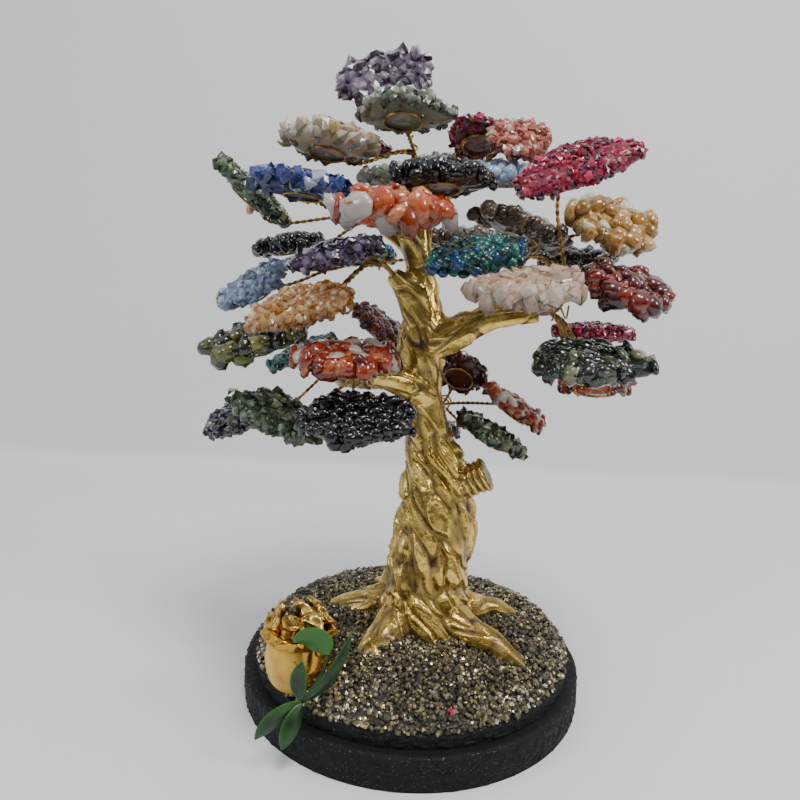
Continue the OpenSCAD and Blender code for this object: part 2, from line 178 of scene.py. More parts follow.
def new_piece(name, points, faces, materials, smooth=True):
    """A piece from points in millimetres and lists of corner numbers, in metres at the origin."""
    mesh = bpy.data.meshes.new(name)
    mesh.from_pydata(np.asarray(points) / 1000, [], faces)
    mesh.polygons.foreach_set("use_smooth", np.full(len(mesh.polygons), smooth))
    for material in materials:
        mesh.materials.append(material)
    return added(name, mesh)


def circle(count):
    """Angles of so many points spaced evenly round a circle."""
    return np.linspace(0, 2 * np.pi, count, endpoint=False)


def unit(vectors):
    """Each vector divided by its length."""
    return vectors / np.linalg.norm(vectors, axis=-1, keepdims=True)


def wrapped(rings):
    """Points and faces of a stack of rings (rows, points, 3), closed round and by a point at each end."""
    rows, sides = rings.shape[:2]
    index = np.arange(rows * sides).reshape(rows, sides)
    turned = np.roll(index, -1, axis=1)
    walls = np.stack([index[:-1], turned[:-1], turned[1:], index[1:]], -1).reshape(-1, 4)
    start = np.stack([np.full(sides, rows * sides), turned[0], index[0]], -1)
    end = np.stack([np.full(sides, rows * sides + 1), index[-1], turned[-1]], -1)
    points = np.vstack([rings.reshape(-1, 3), rings[0].mean(0), rings[-1].mean(0)])
    return points, walls.tolist() + start.tolist() + end.tolist()


def turned_body(profile, around, at=(0.0, 0.0)):
    """Rings of a profile (radius, height) turned about a vertical axis."""
    angle = circle(around)[None, :]
    radius, height = profile[:, :1], profile[:, 1:2]
    return np.stack([at[0] + radius * np.cos(angle), at[1] + radius * np.sin(angle), height + 0 * angle], -1)


def ridges(q, seed):
    """Cells in space: distance to the nearest and second nearest cell point, that point's offset and number.
    Each unit cube holds one point, placed by a hash of the cube's corner."""
    corner0 = np.floor(q)
    near, second = np.full(len(q), 9.0), np.full(len(q), 9.0)
    offset, number = np.zeros_like(q), np.zeros(len(q))
    mixer = np.array([[127.1, 269.5, 113.5], [311.7, 183.3, 271.9], [74.7, 246.1, 124.6]])
    for step in np.ndindex(3, 3, 3):
        corner = corner0 + np.array(step) - 1
        spot = np.modf(np.abs(np.sin(corner @ mixer + seed) * 43758.5))[0]
        away = q - corner - spot
        gap = np.linalg.norm(away, axis=1)
        closer = gap < near
        second = np.where(closer, near, np.minimum(second, gap))
        offset[closer] = away[closer]
        number = np.where(closer, spot[:, 0], number)
        near = np.where(closer, gap, near)
    return near, second, offset, number


black_glitter, tree, sockets = finish("black_glitter", Specular_IOR_Level=0.3)
flake_number = node(tree, "SeparateColor", {0: cells(tree, 2300.0)["Color"]}).outputs[0]
lit = math(tree, "GREATER_THAN", flake_number, 0.968)
coat_tone = ramp(tree, noise(tree, 90.0, 5.0), (0, "#010101"), (1, "#0b0d10"))
drive(tree, sockets, {"Base Color": mix(tree, lit, coat_tone, paint("#454a52")), "Metallic": lit,
                      "Roughness": mapped(tree, lit, 0, 1, 0.7, 0.3)},
      bump=(noise(tree, 1400.0, 4.0), 0.6, 0.0006))

BASE_EDGE, COAT_GRAIN, COAT_LUMP, COAT_SIDES = 2.0, 1.9, 0.75, 420
for disc, seed in (("base_disc", 3.0), ("base_step", 8.0)):
    low, high = (np.array(corner) * 1000 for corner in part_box(disc))
    reach = (high[0] - low[0]) / 2
    bend = np.linspace(0, np.pi / 2, 7)
    edge = np.column_stack([reach - BASE_EDGE + BASE_EDGE * np.cos(bend),
                            high[2] - BASE_EDGE + BASE_EDGE * np.sin(bend)])
    side = np.column_stack([np.full(14, reach),
                            np.linspace(low[2] + 0.4, high[2] - BASE_EDGE, 14, endpoint=False)])
    top = np.column_stack([np.linspace(reach - BASE_EDGE, 1, 12), np.full(12, high[2])])[1:]
    foot = np.array([[1.0, low[2]], [reach - 1.2, low[2]], [reach - 0.3, low[2] + 0.1]])
    rings = turned_body(np.vstack([foot, side, edge, top]), COAT_SIDES)
    points = rings.reshape(-1, 3)
    near, second, _, number = ridges(points / COAT_GRAIN, seed)
    from_axis = np.hypot(points[:, 0], points[:, 1])
    outer = from_axis > reach * 0.9
    lift = np.where(outer & (points[:, 2] > low[2] + 0.2), COAT_LUMP * (number - 0.6) - 0.5 * near, 0.0)
    outward = np.column_stack([points[:, :2] / np.maximum(1, from_axis)[:, None], 0 * points[:, 2]])
    rings = (points + outward * lift[:, None]).reshape(rings.shape)
    piece = new_piece("coated_" + disc, *wrapped(rings), [black_glitter])
    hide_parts(disc)
    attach(piece, "base")

# ---- Ground ----
# A mound of crushed pyrite round the foot of the trunk: crumbs of about two millimetres, dull olive grey
# with brass and silver glints, glued on in one thick layer over a moulded mound.
MOUND_R, MOUND_Z, MOUND_H, MOUND_EDGE = 67.0, 20.0, 10.0, 1.5
CRUMBS, RIM_CRUMBS, SPILT_CRUMBS, CRUMB_SIZE = 8200, 900, 450, 2.15
GOLDEN_TURN = np.pi * (3 - np.sqrt(5))


def mound_height(x, y):
    """Height of the mound: a flat dome whose edge is steep, swollen by a few slow waves."""
    share = np.minimum(1, np.hypot(x, y) / MOUND_R)
    angle = np.degrees(np.arctan2(y, x))
    swell = (0.2 * share * np.sin(np.radians(3 * angle + 40))
             + 0.1 * np.cos(np.radians(5 * angle + 9 * share * MOUND_R))
             + 0.05 * share * np.sin(0.21 * x + 1.3) * np.sin(0.17 * y + 0.4))
    return MOUND_Z + MOUND_EDGE + MOUND_H * (1 - share ** 2) ** 0.45 * (1 + swell)


def icosahedron():
    """Corners and faces of a regular icosahedron of radius 1."""
    g = (1 + np.sqrt(5)) / 2
    corners = np.array([[-1, g, 0], [1, g, 0], [-1, -g, 0], [1, -g, 0], [0, -1, g], [0, 1, g],
                        [0, -1, -g], [0, 1, -g], [g, 0, -1], [g, 0, 1], [-g, 0, -1], [-g, 0, 1]])
    faces = [[0, 11, 5], [0, 5, 1], [0, 1, 7], [0, 7, 10], [0, 10, 11], [1, 5, 9], [5, 11, 4], [11, 10, 2],
             [10, 7, 6], [7, 1, 8], [3, 9, 4], [3, 4, 2], [3, 2, 6], [3, 6, 8], [3, 8, 9], [4, 9, 5],
             [2, 4, 11], [6, 2, 10], [8, 6, 7], [9, 8, 1]]
    return corners / np.hypot(1, g), np.array(faces)


def scattered(shape, spots, facing, tilt, half, rng, rough=0.22):
    """Many copies of one small shape: each is made uneven, stretched by its half sizes, turned so that its
    own z follows the direction it faces, shaken by tilt, and moved to its spot."""
    corners, faces = shape
    count = len(spots)
    up = unit(facing + tilt * rng.normal(size=(count, 3)))
    side = unit(np.cross(up, rng.normal(size=(count, 3))))
    turn = np.stack([side, np.cross(up, side), up], 1)
    uneven = corners[None] * (1 + rough * rng.uniform(-1, 1, (count, len(corners), 1)))
    points = spots[:, None] + np.einsum("nvk,nkj->nvj", uneven * half[:, None], turn)
    numbered = faces[None] + len(corners) * np.arange(count)[:, None, None]
    return points.reshape(-1, 3), numbered.reshape(-1, faces.shape[1])


def mark(piece, **values):
    """Stores one number per point under each name, for the materials to read."""
    for label, numbers in values.items():
        piece.data.attributes.new(label, "FLOAT", "POINT").data.foreach_set(
            "value", np.ascontiguousarray(numbers, np.float32))


pyrite, tree, sockets = finish("pyrite", Specular_IOR_Level=0.7)
tone = stored(tree, "tone")
crumb_colour = ramp(tree, tone, (0, "#1b1914"), (0.25, "#3f3b30"), (0.5, "#777060"), (0.72, "#a39567"),
                    (0.88, "#c9c0a6"), (1, "#f4efdf"))
dirt = mapped(tree, noise(tree, 60.0, 3.0), 0.35, 0.75, 0.0, 0.7)
drive(tree, sockets, {"Base Color": mix(tree, dirt, crumb_colour, paint("#4d4838")),
                      "Roughness": mapped(tree, tone, 0, 1, 0.5, 0.16),
                      "Metallic": mapped(tree, tone, 0, 1, 0.35, 0.95)})

rng = np.random.default_rng(11)
share = np.linspace(1, 0.02, 20)[:, None]
angle = circle(110)[None, :]
BED_BELOW = 0.7
ground = np.stack([MOUND_R * share * np.cos(angle), MOUND_R * share * np.sin(angle), 0 * share * angle], -1)
ground[..., 2] = mound_height(ground[..., 0], ground[..., 1]) - BED_BELOW
skirt = ground[:1].copy()
skirt[..., 2] = MOUND_Z + 0.05
bed_points, bed_faces = wrapped(np.concatenate([skirt, ground]))
total = CRUMBS + RIM_CRUMBS + SPILT_CRUMBS
order = np.arange(total) + 0.5
spread = np.concatenate([np.sqrt(order[:CRUMBS] / CRUMBS) * (MOUND_R - 1) + rng.normal(0, 0.4, CRUMBS),
                         rng.uniform(MOUND_R - 3, MOUND_R + 0.5, RIM_CRUMBS),
                         rng.uniform(MOUND_R, MOUND_R + 2.6, SPILT_CRUMBS)])
turn = order * GOLDEN_TURN + rng.normal(0, 0.02, total)
x, y = spread * np.cos(turn), spread * np.sin(turn)
inside_rim = MOUND_R + 0.6 - spread[CRUMBS:-SPILT_CRUMBS]
heights = np.concatenate([mound_height(x, y)[:CRUMBS] + rng.normal(-0.1, 0.45, CRUMBS),
                          MOUND_Z + inside_rim * rng.uniform(0.5, 1.4, RIM_CRUMBS) + 0.5,
                          np.full(SPILT_CRUMBS, MOUND_Z + 0.6)])
spots = np.column_stack([x, y, heights])
sizes = CRUMB_SIZE / 2 * rng.uniform(0.6, 1.25, (total, 1)) * rng.uniform(0.75, 1.2, (total, 3))
crumb_points, crumb_faces = scattered(icosahedron(), spots, np.tile([0.0, 0.0, 1.0], (total, 1)), 1.0,
                                      sizes, rng)
piece = new_piece("pyrite_ground", np.vstack([bed_points, crumb_points]),
                  bed_faces + (crumb_faces + len(bed_points)).tolist(), [pyrite], smooth=False)
dusting = 0.14 * np.sin(0.09 * x + 0.6) * np.sin(0.075 * y + 3.0)
mark(piece, tone=np.concatenate([np.full(len(bed_points), 0.15),
                                 np.repeat(np.clip(rng.beta(1.5, 1.8, total) + dusting, 0, 1), 12)]))
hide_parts("pyrite_mound")
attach(piece, "base")

# ---- Trunk ----
# Air-dry clay pressed round the wire core by hand in long strips that wind down to the right, then painted
# gold; the folds and the knot's grooves are darkened to umber as painted shade. The knot is a rolled stub,
# and the roots run out into the crumbs.
TRUNK = [[6, 0, 20, 25], [6, 0, 30, 22.5], [5, 0, 42, 20], [6, 0, 58, 18], [9, 0, 76, 17.5], [8, 0, 95, 15],
         [4.5, 0, 113, 11.5], [0, 0, 131, 9], [-1, 0, 148, 10.35], [0, 0, 163, 9.9], [-2, 0, 177, 7.2],
         [-3, 1, 190, 5.2]]
KNOT = [[12, -2, 93, 10.5], [19, -3, 96, 8.2], [24, -4, 98, 7.0], [30, -5, 101, 7.6]]
ROOTS = [[[0, 2, 40, 10], [-16, 6, 33, 8], [-30, 9, 30, 5.5], [-42, 14, 24, 2.5]],
         [[0, -6, 40, 10], [-10, -18, 30, 8.5], [-17, -29, 27, 6.5], [-23, -42, 21, 3]],
         [[12, -6, 40, 9], [24, -15, 33, 7], [36, -23, 31, 5], [48, -31, 25, 2.5]],
         [[12, 2, 40, 9], [26, 4, 34, 7], [38, 7, 33, 4.5], [50, 10, 26, 2.5]],
         [[8, 6, 40, 9], [13, 20, 32, 7.5], [16, 32, 29, 5], [20, 46, 23, 2.5]],
         [[2, 6, 40, 9], [-8, 20, 32, 7], [-15, 31, 30, 5], [-22, 42, 24, 2.5]]]
BOUGHS = {
    "crown": [[-1, 0, 176, 7], [-3, 1, 192, 5.4], [-4, 3, 210, 4.6], [-6, 5, 227, 3.6]],
    "crown_right": [[-4, 2, 202, 4.4], [1, 5, 209, 4.2], [7, 8, 215, 3.6]],
    "crown_front": [[-3, 1, 186, 5], [-6, -5, 194, 4.4], [-9, -12, 200, 3.6]],
    "upper_left": [[-3, 2, 190, 4.6], [-10, 4, 197, 4.2], [-17, 5, 202, 3.6]],
    "left": [[2, -1, 158, 8], [-3, -3, 170, 7.5], [-8, -4, 178, 6], [-14, -5, 184, 3.6]],
    "low_left": [[0, -3, 134, 7], [-7, -9, 139, 6], [-14, -14, 142, 4.8], [-21, -19, 143, 3.6]],
    "back_left": [[0, 3, 134, 7], [-6, 11, 141, 6], [-13, 18, 145, 4.6], [-21, 24, 147, 3.6]],
    "right_upper": [[19, -5, 163, 6], [29, -1, 171, 5], [36, 6, 180, 4.2], [40, 10, 188, 3.6]],
    "right": [[1, -1, 155, 9], [16, -4, 162, 7.2], [30, -7, 167, 4], [46, -9, 170, 3.6]],
    "back_right": [[3, 3, 112, 7], [5, 13, 117, 5.6], [7, 22, 120, 4.6], [9, 31, 121, 3.6]],
    "back": [[0, 3, 162, 7], [-1, 14, 174, 5.6], [-2, 24, 182, 4.6], [-4, 34, 187, 3.6]]}
CLAY_VOXEL = 0.00072
STRIP_WIDTH, STRIP_STRETCH, STRIP_WIND = 8.5, 3.4, 0.032
STRIP_HEIGHT, STRIP_LEAN, STRIP_LIP, CREASE_DEPTH, COIL_PITCH = 1.3, 2.2, 0.55, 1.2, 2.6


def through(points, steps):
    """Catmull-Rom curve through the points, with so many steps between each two."""
    p = np.asarray(points, float)
    held = np.vstack([p[:1], p, p[-1:]])
    a, b, c, d = held[:-3], held[1:-2], held[2:-1], held[3:]
    t = np.linspace(0, 1, steps, endpoint=False)[:, None, None]
    curve = 0.5 * (2 * b + (c - a) * t + (2 * a - 5 * b + 4 * c - d) * t ** 2
                   + (3 * b - a - 3 * c + d) * t ** 3)
    return np.vstack([curve.transpose(1, 0, 2).reshape(-1, p.shape[1]), p[-1:]])


def along(path):
    """Tangents of a path and two directions square to them. The direction that the path turns about least
    fixes the first of the two."""
    tangent = unit(np.gradient(path, axis=0))
    across_all = np.linalg.svd(tangent, full_matrices=False)[2][-1]
    first = unit(np.cross(across_all, tangent))
    return tangent, first, np.cross(tangent, first)


def run_of(path):
    """Length run along a path up to each of its points."""
    return np.concatenate([[0], np.cumsum(np.linalg.norm(np.diff(path, axis=0), axis=1))])


def tube(path, radius, sides):
    """Rings of a round tube: at each point of the path, a circle square to it."""
    _, first, second = along(path)
    angle = circle(sides)[None, :, None]
    radius = np.broadcast_to(np.asarray(radius, float), (len(path),))[:, None, None]
    return path[:, None] + radius * (np.cos(angle) * first[:, None] + np.sin(angle) * second[:, None])


def joined(solids):
    """Points and faces of several solids as one list."""
    points, faces, first = [], [], 0
    for solid_points, solid_faces in solids:
        points.append(solid_points)
        faces += [[corner + first for corner in face] for face in solid_faces]
        first += len(solid_points)
    return np.vstack(points), faces


def mesh_array(mesh, what="co"):
    """Positions or normals of a mesh's points, as an array."""
    numbers = np.empty(len(mesh.vertices) * 3, np.float32)
    (mesh.vertices if what == "co" else mesh.vertex_normals).foreach_get(
        "co" if what == "co" else "vector", numbers)
    return numbers.reshape(-1, 3).astype(float)


limbs = [through(TRUNK, 12), through(KNOT, 6)]
limbs += [through(line, 10) for line in ROOTS + list(BOUGHS.values())]
rough_clay = new_piece("rough_clay", *joined([wrapped(tube(l[:, :3], l[:, 3], 32)) for l in limbs]), [])
weld = rough_clay.modifiers.new("weld", "REMESH")
weld.mode, weld.voxel_size = "VOXEL", CLAY_VOXEL
soften = rough_clay.modifiers.new("soften", "SMOOTH")
soften.factor, soften.iterations = 0.5, 12
clay_mesh = bpy.data.meshes.new_from_object(rough_clay.evaluated_get(bpy.context.evaluated_depsgraph_get()))
bpy.data.objects.remove(rough_clay)

clay = mesh_array(clay_mesh) * 1000
best = np.full(len(clay), 99.0)
q, knot_share, knot_step = np.zeros_like(clay), np.zeros(len(clay)), np.zeros(len(clay))
for number, limb in enumerate(limbs):
    tangent, first, second = along(limb[:, :3])
    run = run_of(limb[:, :3])
    gap = np.full(len(clay), 999.0)
    nearest = np.zeros(len(clay), int)
    for k in range(len(limb)):
        away = np.linalg.norm(clay - limb[k, :3], axis=1) / limb[k, 3]
        nearest = np.where(away < gap, k, nearest)
        gap = np.minimum(gap, away)
    offset = clay - limb[nearest, :3]
    step = run[nearest] + np.einsum("ij,ij->i", offset, tangent[nearest])
    angle = np.arctan2(np.einsum("ij,ij->i", offset, second[nearest]),
                       np.einsum("ij,ij->i", offset, first[nearest])) + STRIP_WIND * step
    size = limb[nearest, 3] / STRIP_WIDTH
    own = np.column_stack([size * np.cos(angle), size * np.sin(angle),
                           step / STRIP_WIDTH / STRIP_STRETCH + 9.0 * number])
    closer = gap < best
    q[closer] = own[closer]
    knot_share[closer] = float(number == 1) * np.clip((step[closer] - 7) / 4, 0, 1)
    knot_step = np.where(closer, step, knot_step)
    best = np.minimum(best, gap)
waver = 0.22 * np.sin(clay @ np.array([[0.11, 0.05, 0.3], [0.07, 0.13, 0.2], [0.16, 0.19, 0.05]]))
near, second_near, inside, number = ridges(q + waver, 4.2)
crease = np.clip((second_near - near) / 0.3, 0, 1)
strip = crease * crease * (3 - 2 * crease)
lean = inside[:, 0] * np.cos(40 * number) + inside[:, 1] * np.sin(40 * number)
fine_near, fine_second, _, fine_number = ridges(q * np.array([2.3, 2.3, 1.7]) + waver, 7.7)
fine = np.clip((fine_second - fine_near) / 0.35, 0, 1)
coil = 0.5 * np.cos(2 * np.pi * knot_step / COIL_PITCH)
lip = np.exp(-((second_near - near - 0.26) / 0.09) ** 2)
lift = (strip * (STRIP_HEIGHT + 1.2 * (number - 0.5) + STRIP_LEAN * lean) + STRIP_LIP * lip - CREASE_DEPTH
        + 0.5 * (fine - 0.7) * (0.2 + fine_number))
thin = np.clip((best - 0.2) * 1.5, 0.35, 1)
slender = np.clip(np.linalg.norm(q[:, :2], axis=1) / 1.6, 0.35, 1)
lift = (1 - knot_share) * lift * slender * thin + knot_share * (coil + 0.4 * (fine - 0.7))
clay = clay + mesh_array(clay_mesh, "normal") * lift[:, None]
clay_mesh.vertices.foreach_set("co", (clay / 1000).ravel())
clay_mesh.polygons.foreach_set("use_smooth", np.full(len(clay_mesh.polygons), True))
# recess: how deep each point lies in a crease between strips or in the coil of the knot; it is painted shade,
# which darkens the gold there to umber.
recess = (np.clip(0.9 - 0.75 * strip - 0.2 * fine + 0.3 * (number < 0.12), 0, 1) * (1 - knot_share)
          + knot_share * np.clip(0.5 - coil, 0, 1))

gold_clay, tree, sockets = finish("gold_clay", IOR=1.5)
brushed = noise(tree, 140.0, 6.0, Roughness=0.62)
# Painted shade: the recesses, broken up by the brushed noise, turn the gold to dark umber and make it less
# metallic.
shadowed = math(tree, "ADD", stored(tree, "recess"), mapped(tree, brushed, 0.3, 0.7, -0.3, 0.45))
fold_shade = mapped(tree, shadowed, 0.35, 1.15)
leafing = ramp(tree, brushed, (0.3, "#8b6c26"), (0.62, "#eccd74"))
drive(tree, sockets, {"Base Color": mix(tree, fold_shade, leafing, paint("#3e2408")),
                      "Metallic": mapped(tree, fold_shade, 0, 1, 0.92, 0.35),
                      "Roughness": mapped(tree, brushed, 0.3, 0.7, 0.13, 0.33)},
      bump=(noise(tree, 420.0, 5.0), 0.35, 0.0006))
clay_mesh.materials.clear()
clay_mesh.materials.append(gold_clay)
piece = added("gold_trunk", clay_mesh)
mark(piece, recess=recess)
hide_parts("clay_trunk")
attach(piece, "base")

# ---- Wire core ----
# The bundle of bare brass wire inside the clay, which holds it up and stands in a bore of the base.
# It is out of sight, so its own shape stays, with the wire's finish.
tree_wire, tree, sockets = finish("tree_wire", Metallic=1.0)
tarnish = noise(tree, 260.0, 4.0)
drive(tree, sockets, {"Base Color": ramp(tree, tarnish, (0.35, "#5c431c"), (0.66, "#c9a25c")),
                      "Roughness": mapped(tree, tarnish, 0, 1, 0.2, 0.5)})
core = frame["nodes"]["wire_core"]
core.data.materials.clear()
core.data.materials.append(tree_wire)

# ---- Leaves ----
# Each leaf is a slab of tumbled stone chips set in clear resin over a wire ring. The chips lie thickly on
# top and stand out round the rim; the resin shows between them below, tinted by the stone.
# name: shape, chip size, stretch, tilt, clearness, roughness, deep, body, pale and odd colours, share of odd
STONES = {
    "amethyst": ("chip", 4.6, (1.1, 0.9, 0.8), 1.2, 0.25, 0.12, "#1c1224 #4d3a5c #94859f #c3bac8", 0.08),
    "grey_amethyst": ("chip", 5.2, (1.1, 0.9, 0.8), 1.2, 0.35, 0.12, "#3b3040 #776a7c #b9adbb #4c3458", 0.2),
    "green_quartz": ("chip", 4.0, (1.1, 0.9, 0.8), 1.2, 0.3, 0.15, "#6d7266 #a2aa9a #ccd2c6 #585a50", 0.1),
    "clear_quartz": ("shard", 6.0, (0.8, 0.75, 1.0), 0.5, 0.45, 0.12,
                          "#b3a488 #dccfb8 #f5f0e4 #dfcd98", 0.12),
    "magenta_agate": ("chip", 3.0, (1.1, 0.9, 0.8), 1.5, 0.1, 0.12, "#48061f #a30c42 #d8336c #5c1242", 0.12),
    "garnet": ("chip", 3.6, (1.1, 0.9, 0.8), 1.4, 0.15, 0.12, "#240a0e #65131e #a3303a #3c1216", 0.15),
    "tipped_garnet": ("chip", 3.6, (1.1, 0.9, 0.8), 1.4, 0.15, 0.12, "#36090f #861a22 #b03038 #d01c6c", 0.22),
    "strawberry_quartz": ("chip", 3.6, (1.1, 0.9, 0.8), 1.4, 0.2, 0.15,
                          "#8a4030 #b46a57 #d59a86 #e0d0c0", 0.12),
    "blue_agate": ("pebble", 5.0, (1.1, 1, 0.9), 1.2, 0.3, 0.16, "#8da3bb #aec3d8 #dbe7f2 #c4d4e6", 0.2),
    "carnelian_agate": ("pebble", 7.0, (1.3, 1.0, 0.6), 0.5, 0.25, 0.08,
                          "#6a1a08 #b4481c #dc8a50 #cbc0b4", 0.2),
    "milky_agate": ("pebble", 9.0, (1.3, 1.0, 0.55), 0.8, 0.35, 0.07,
                          "#8e300e #c25a22 #e3a06c #cdc6c0", 0.34),
    "onyx": ("pebble", 5.0, (1.35, 0.9, 0.8), 1.2, 0.0, 0.07, "#040405 #0a0a0c #1a1b1f #26282c", 0.06),
    "lapis": ("chip", 6.0, (1.2, 1, 0.8), 1.0, 0.05, 0.15, "#111d44 #24397a #5c74ae #b3bfd0", 0.14),
    "aventurine": ("chip", 4.4, (1.2, 1, 0.7), 1.0, 0.15, 0.1, "#27352a #4b5f46 #869878 #a9b189", 0.12),
    "angelite": ("chip", 3.4, (1.1, 1, 0.8), 1.4, 0.05, 0.4, "#6c7b93 #91a2ba #b8c5d5 #7d8ca4", 0.2),
    "peach_quartz": ("chip", 3.5, (1.1, 1, 0.8), 1.5, 0.25, 0.12, "#96703f #c6a071 #e6ccaa #a9752e", 0.2),
    "peridot": ("pebble", 7.0, (1.2, 1, 0.7), 0.8, 0.2, 0.12, "#2a2b15 #54562b #96994f #22251b", 0.25),
    "chrysocolla": ("pebble", 4.6, (1.1, 1, 0.9), 1.2, 0.1, 0.1, "#083a40 #0f6b66 #3ba38b #1a5c88", 0.25),
    "sodalite": ("chip", 4.2, (1.1, 1, 0.8), 1.2, 0.05, 0.15, "#0a0d1e #1d2340 #50556c #7f7a74", 0.16),
    "red_jasper": ("pebble", 7.0, (1.2, 1, 0.7), 0.8, 0.0, 0.12, "#3a0f08 #702012 #9c3f28 #531c12", 0.15),
    "citrine": ("pebble", 7.0, (1.2, 1, 0.8), 1.0, 0.45, 0.08, "#8f6a2c #c89a4e #ecd49c #f2ead2", 0.22),
    "smoky_quartz": ("pebble", 7.0, (1.2, 1, 0.8), 1.0, 0.25, 0.12, "#382a20 #6c5846 #9e8a76 #b8afa8", 0.15),
    "rose_quartz": ("chip", 6.4, (1.3, 1, 0.7), 0.8, 0.35, 0.12, "#a58c76 #cbb39d #ebdfd0 #dac4b2", 0.2),
    "moss_agate": ("pebble", 6.2, (1.4, 1, 0.6), 0.6, 0.15, 0.09, "#141a15 #2a372c #53634d #8a8e72", 0.12)}
STONES["backed_onyx"] = STONES["onyx"]
LEAF_LOOKS = {"agate": "milky_agate", "amethyst_top": "grey_amethyst", "garnet_top": "tipped_garnet",
              "onyx_crown": "backed_onyx"}
RESIN_TINTS = {"backed_onyx": "#6e3c20", "green_quartz": "#8f8570", "clear_quartz": "#a8977a"}
# leaves that pass close to another when their sprays bend: drawn in to this share, their top chips lowered
SNUG_LEAVES, SNUG_REACH, SNUG_DROP = ("chrysocolla", "rose_quartz", "tiger_eye", "blue_right"), 0.93, 0.9
CHIPS_ON_TOP, CHIPS_ON_RIM, CHIPS_BELOW, WET_POWER = 1.5, 1.6, 0.5, 1.2
CHIP_SIZES = {"magenta_top": 2.6, "aventurine_left": 3.6, "orange_low": 5.0, "agate_back": 4.6,
              "jasper_left": 4.6, "citrine_small": 5.0, "teal_left": 3.6}


def pebble():
    """A cube with each side cut in four and its corners drawn in to a ball: 26 corners, 24 faces."""
    grid = np.array([p for p in np.ndindex(3, 3, 3) if 1 in p and p != (1, 1, 1) or 1 not in p], float) - 1
    number = {tuple(p): k for k, p in enumerate(grid.astype(int))}
    faces = []
    for axis in range(3):
        for end in (-1, 1):
            for a, b in ((-1, -1), (0, -1), (0, 0), (-1, 0)):
                ring = [(a, b), (a + 1, b), (a + 1, b + 1), (a, b + 1)][::end]
                faces.append([number[tuple(np.insert(corner, axis, end))] if axis != 1 else
                              number[tuple(np.insert(corner[::-1], 1, end))] for corner in ring])
    return grid / np.linalg.norm(grid, axis=1)[:, None], np.array(faces)


def shard():
    """A six-sided crystal: a prism with a point above and a blunt end below."""
    angle = np.arange(6) * np.pi / 3
    ring = np.column_stack([np.cos(angle), np.sin(angle)])
    corners = np.vstack([np.column_stack([0.8 * ring, np.full(6, -0.8)]),
                         np.column_stack([ring, np.full(6, 0.35)]), [[0, 0, -1], [0.1, 0.05, 1.15]]])
    k = np.arange(6)
    j = (k + 1) % 6
    foot, tip = k * 0 + 12, k * 0 + 13
    return corners, np.vstack([np.column_stack([k, j, k + 6]), np.column_stack([j, j + 6, k + 6]),
                               np.column_stack([foot, j, k]), np.column_stack([tip, k + 6, j + 6])])


SHAPES = {"chip": icosahedron(), "pebble": pebble(), "shard": shard()}

# The finish that all stones share: a chip's own tone between three colours, a few odd chips, cloudy bands
# inside each chip, and painted shade in the gaps between them: the deeper a chip sits, the darker and less
# coated it is.
stone_group, given, out = group(
    "stone", [("Deep", "Color"), ("Body", "Color"), ("Pale", "Color"), ("Odd", "Color"),
              ("Odd Share", "Float"), ("Shine", "Float")],
    [("Colour", "Color"), ("Coat", "Float"), ("Height", "Float")])
tone, odd, sunk = (stored(stone_group, name) for name in ("tone", "odd", "sunk"))
cloud = noise(stone_group, 330.0, 4.0, Distortion=0.8)
shift = math(stone_group, "ADD", tone, mapped(stone_group, cloud, 0.3, 0.7, -0.28, 0.28))
colour = mix(stone_group, mapped(stone_group, shift, 0.0, 0.5), given["Deep"], given["Body"])
colour = mix(stone_group, mapped(stone_group, shift, 0.5, 1.0), colour, given["Pale"])
colour = mix(stone_group, math(stone_group, "LESS_THAN", odd, given["Odd Share"]), colour, given["Odd"])
# Painted shade: chips that sit deep in the slab are darkened, down to 0.35, and lose most of their coat.
sunk_shade = mapped(stone_group, sunk, 0, 1, 1.0, 0.35)
drive(stone_group, out, {"Colour": mix(stone_group, 1.0, colour, sunk_shade, blend_type="MULTIPLY"),
                         "Coat": mapped(stone_group, sunk, 0, 1, given["Shine"], 0.1),
                         "Height": cells(stone_group, 700.0, feature="SMOOTH_F1")["Distance"]})

# The finish of the resin between the chips: the stone's colour, hazy, with blots where chips lie below.
resin_group, given, out = group("resin", [("Tint", "Color"), ("Stain", "Color")],
                                [("Colour", "Color"), ("Roughness", "Float"), ("Height", "Float")])
blots = cells(resin_group, 260.0)
haze = noise(resin_group, 180.0, 5.0)
seen = mix(resin_group, haze, given["Stain"], given["Tint"])
drive(resin_group, out, {"Colour": mix(resin_group, 0.2, seen, blots["Color"], blend_type="SOFT_LIGHT"),
                         "Roughness": mapped(resin_group, haze, 0, 1, 0.15, 0.5),
                         "Height": blots["Distance"]})


def wet(code):
    """Colour of a stone in resin, which deepens it: each linear channel of its dry colour to a power."""
    return (*np.array(paint(code)[:3]) ** WET_POWER, 1.0)


stone_finish, resin_finish = {}, {}
for stone, (_, _, _, _, clear, roughness, codes, odd_share) in STONES.items():
    deep, body, pale, odd_colour = map(wet, codes.split())
    made, tree, sockets = finish(stone, Roughness=roughness, Coat_Roughness=0.05, IOR=1.5,
                                 Transmission_Weight=clear * 0.6, Subsurface_Weight=0.15 + clear * 0.6,
                                 Subsurface_Scale=0.003)
    own = node(tree, "Group", node_tree=stone_group, inputs={
        "Deep": deep, "Body": body, "Pale": pale, "Odd": odd_colour,
        "Odd Share": odd_share, "Shine": 0.25 if stone.endswith("onyx") else 0.65}).outputs
    drive(tree, sockets, {"Base Color": own["Colour"], "Coat Weight": own["Coat"]},
          bump=(own["Height"], 0.35, 0.0005))
    stone_finish[stone] = made
    made, tree, sockets = finish(stone + "_resin", IOR=1.45, Coat_Weight=0.2, Coat_Roughness=0.1)
    own = node(tree, "Group", node_tree=resin_group, inputs={
        "Tint": wet(RESIN_TINTS[stone]) if stone in RESIN_TINTS else body, "Stain": deep}).outputs
    drive(tree, sockets, {"Base Color": own["Colour"], "Roughness": own["Roughness"]},
          bump=(own["Height"], 0.5, 0.0008))
    resin_finish[stone] = made


